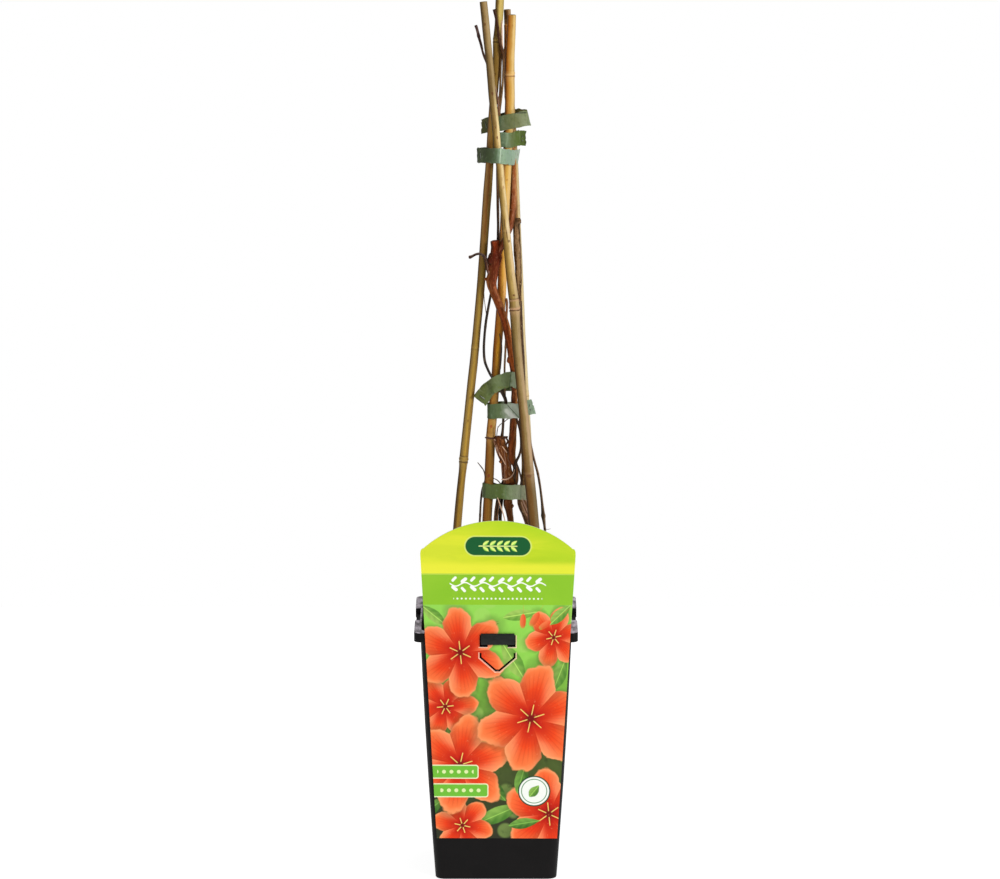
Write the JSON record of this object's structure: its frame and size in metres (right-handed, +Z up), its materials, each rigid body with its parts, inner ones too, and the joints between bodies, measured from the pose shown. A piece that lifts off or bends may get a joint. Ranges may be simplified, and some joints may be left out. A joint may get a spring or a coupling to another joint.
{
  "type": "potted trumpet vine",
  "caption": "Leafless climbing vine in a tall square nursery pot, its stems taped to bamboo canes, with a picture label hung on the rim.",
  "frame": {"origin": "middle of the pot's foot, on the surface it stands on", "axes": "+Z up along the plant; the label faces -Y and +X is to its right"},
  "size_m": [0.13, 0.1395, 0.7221],
  "materials": {
    "pot": "moulded black, soft sheen",
    "soil": "crumbly dark peat",
    "cane_pale": "pale olive bamboo, waxy",
    "cane_gold": "golden bamboo, waxy",
    "bark": "red-brown flaking bark",
    "tie_tape": "grey-green soft tape",
    "steel": "galvanised staple wire",
    "wire": "dark weathered binding wire",
    "label": "printed face, plain white back"
  },
  "bodies": {
    "root": {"pot": "pot", "soil": "soil", "cane_front": "cane_pale", "cane_left": "cane_gold", "cane_centre": "cane_gold", "cane_back": "cane_gold", "vine": "bark", "tie_1": "tie_tape", "tie_2": "tie_tape", "tie_3": "tie_tape", "tie_4": "tie_tape", "tie_5": "tie_tape", "tie_6": "tie_tape", "staple_1": "steel", "staple_2": "steel", "staple_3": "steel", "staple_4": "steel", "staple_5": "steel", "staple_6": "steel", "wire_tie": "wire", "label": "label"}
  },
  "joints": []
}
